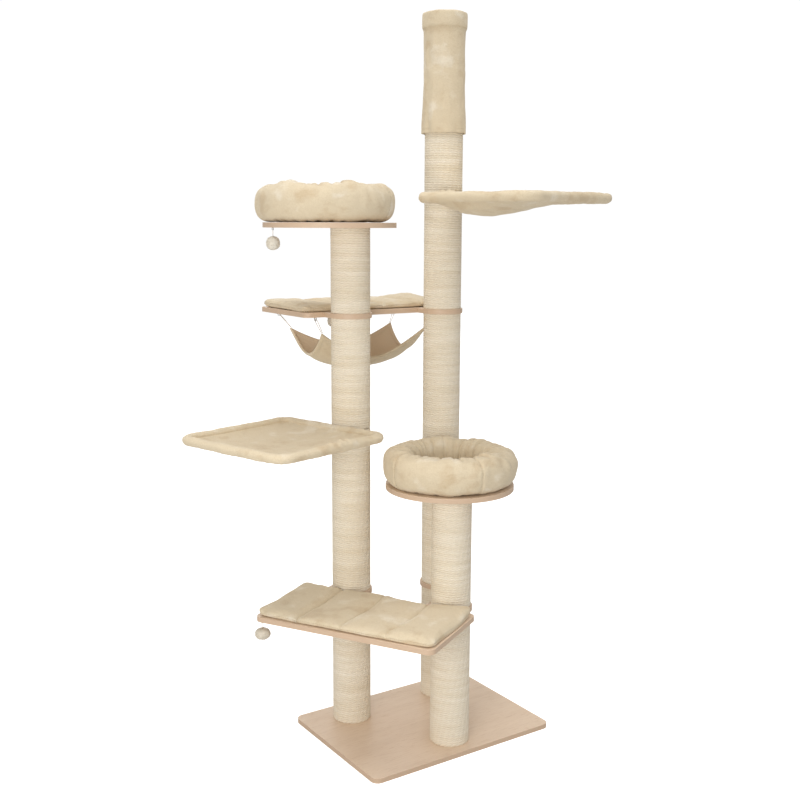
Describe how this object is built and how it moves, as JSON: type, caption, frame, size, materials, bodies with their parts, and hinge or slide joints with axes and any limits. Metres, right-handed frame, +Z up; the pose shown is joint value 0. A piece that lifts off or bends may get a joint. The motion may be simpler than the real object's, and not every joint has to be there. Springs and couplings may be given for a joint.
{
  "type": "cat tree",
  "caption": "Ceiling-high cat tree: rope-wound posts on a wooden base, shelves with pads, round plush beds, slings, a hammock, hanging toys and a ceiling tensioner.",
  "frame": {"origin": "centre of the base plate's underside, on the floor", "axes": "+Z up, X along the base plate's long side, +Y from the single post's side to the two-post side"},
  "size_m": [1.2914, 0.9863, 2.4],
  "materials": {
    "board": "matt foil with a beech grain",
    "plain_wood": "raw particle board",
    "cardboard_core": "raw spiral-wound card",
    "sisal": "twisted natural sisal rope",
    "zinc_steel": "zinc plated",
    "coated_steel": "grey powder coat",
    "plush": "short-pile beige plush",
    "hammock_plush": "short-pile tan plush",
    "cord": "twisted cotton cord",
    "foam": "closed-cell foam"
  },
  "bodies": {
    "frame": {"base_plate": "board", "base_bolts": "zinc_steel", "left_cores": "cardboard_core", "front_cores": "cardboard_core", "rear_cores": "cardboard_core", "left_rope_1": "sisal", "left_rope_2": "sisal", "left_rope_3": "sisal", "left_rope_4": "sisal", "front_rope_1": "sisal", "front_rope_2": "sisal", "rear_rope_1": "sisal", "rear_rope_2": "sisal", "rear_rope_3": "sisal", "rear_rope_4": "sisal", "rear_rope_5": "sisal", "left_plugs": "plain_wood", "front_plugs": "plain_wood", "rear_plugs": "plain_wood", "left_studs": "zinc_steel", "front_studs": "zinc_steel", "rear_studs": "zinc_steel", "spacer_disc": "board", "lower_shelf": "board", "middle_shelf": "board", "top_round_board": "board", "front_round_board": "board", "round_board_bolts": "zinc_steel", "hammock_hooks": "zinc_steel", "toy_eyes": "zinc_steel", "tension_insert": "zinc_steel"},
    "lower_pad": {"lower_pad": "plush"},
    "middle_pad": {"middle_pad": "plush"},
    "top_bed": {"top_bed_ring": "plush", "top_bed_cushion": "plush"},
    "front_bed": {"front_bed_ring": "plush", "front_bed_cushion": "plush"},
    "left_sling": {"left_sling_bracket": "coated_steel", "left_sling_frame": "coated_steel", "left_sling_cover": "plush"},
    "right_sling": {"right_sling_bracket": "coated_steel", "right_sling_frame": "coated_steel", "right_sling_cover": "plush"},
    "hammock": {"hammock_cloth": "hammock_plush", "hammock_loop_1": "cord", "hammock_loop_2": "cord", "hammock_loop_3": "cord", "hammock_loop_4": "cord"},
    "top_toy": {"top_toy": "plush", "top_toy_string": "cord"},
    "lower_toy": {"lower_toy": "plush", "lower_toy_string": "cord"},
    "middle_toy": {"middle_toy": "plush", "middle_toy_string": "cord"},
    "tensioner": {"tension_spindle": "zinc_steel", "ceiling_plate": "plain_wood", "ceiling_foam": "foam", "tension_sleeve": "plush"},
    "lock_nut": {"tension_lock_nut": "zinc_steel"}
  },
  "joints": [
    {"name": "left_sling_swivel", "type": "hinge", "parent": "frame", "child": "left_sling", "pos_m": [-0.185, 0.16021, 1.04], "axis": [0, 0, 1], "range_deg": [-30, 15]},
    {"name": "right_sling_swivel", "type": "hinge", "parent": "frame", "child": "right_sling", "pos_m": [0.185, 0.16021, 1.784], "axis": [0, 0, 1], "range_deg": [-18, 40]},
    {"name": "hammock_sway", "type": "slide", "parent": "frame", "child": "hammock", "axis": [1, 0, 0], "range_m": [-0.012, 0.012], "stiffness_N_per_m": 60, "deforming": ["hammock_loop_1", "hammock_loop_2", "hammock_loop_3", "hammock_loop_4"]},
    {"name": "top_toy_swing", "type": "hinge", "parent": "frame", "child": "top_toy", "pos_m": [-0.48719, 0.11507, 1.69], "axis": [1, 0, 0], "range_deg": [-40, 40]},
    {"name": "lower_toy_swing", "type": "hinge", "parent": "frame", "child": "lower_toy", "pos_m": [-0.56418, 0.07697, 0.461], "axis": [1, 0, 0], "range_deg": [-40, 40]},
    {"name": "middle_toy_swing", "type": "hinge", "parent": "frame", "child": "middle_toy", "pos_m": [-0.04, 0.52521, 1.399], "axis": [1, 0, 0], "range_deg": [-40, 40]},
    {"name": "lower_pad_lift", "type": "slide", "parent": "frame", "child": "lower_pad", "axis": [0, 0, 1], "range_m": [0, 0.1]},
    {"name": "middle_pad_lift", "type": "slide", "parent": "frame", "child": "middle_pad", "axis": [0, 0, 1], "range_m": [0, 0.1]},
    {"name": "top_bed_lift", "type": "slide", "parent": "frame", "child": "top_bed", "axis": [0, 0, 1], "range_m": [0, 0.15]},
    {"name": "front_bed_lift", "type": "slide", "parent": "frame", "child": "front_bed", "axis": [0.45, -0.55, 0.7036], "range_m": [0, 0.15]},
    {"name": "ceiling_tension", "type": "slide", "parent": "frame", "child": "tensioner", "axis": [0, 0, 1], "range_m": [-0.06, 0.08]},
    {"name": "lock_nut_spin", "type": "hinge", "parent": "frame", "child": "lock_nut", "pos_m": [0.185, 0.16021, 2.154], "axis": [0, 0, 1], "continuous": true}
  ]
}
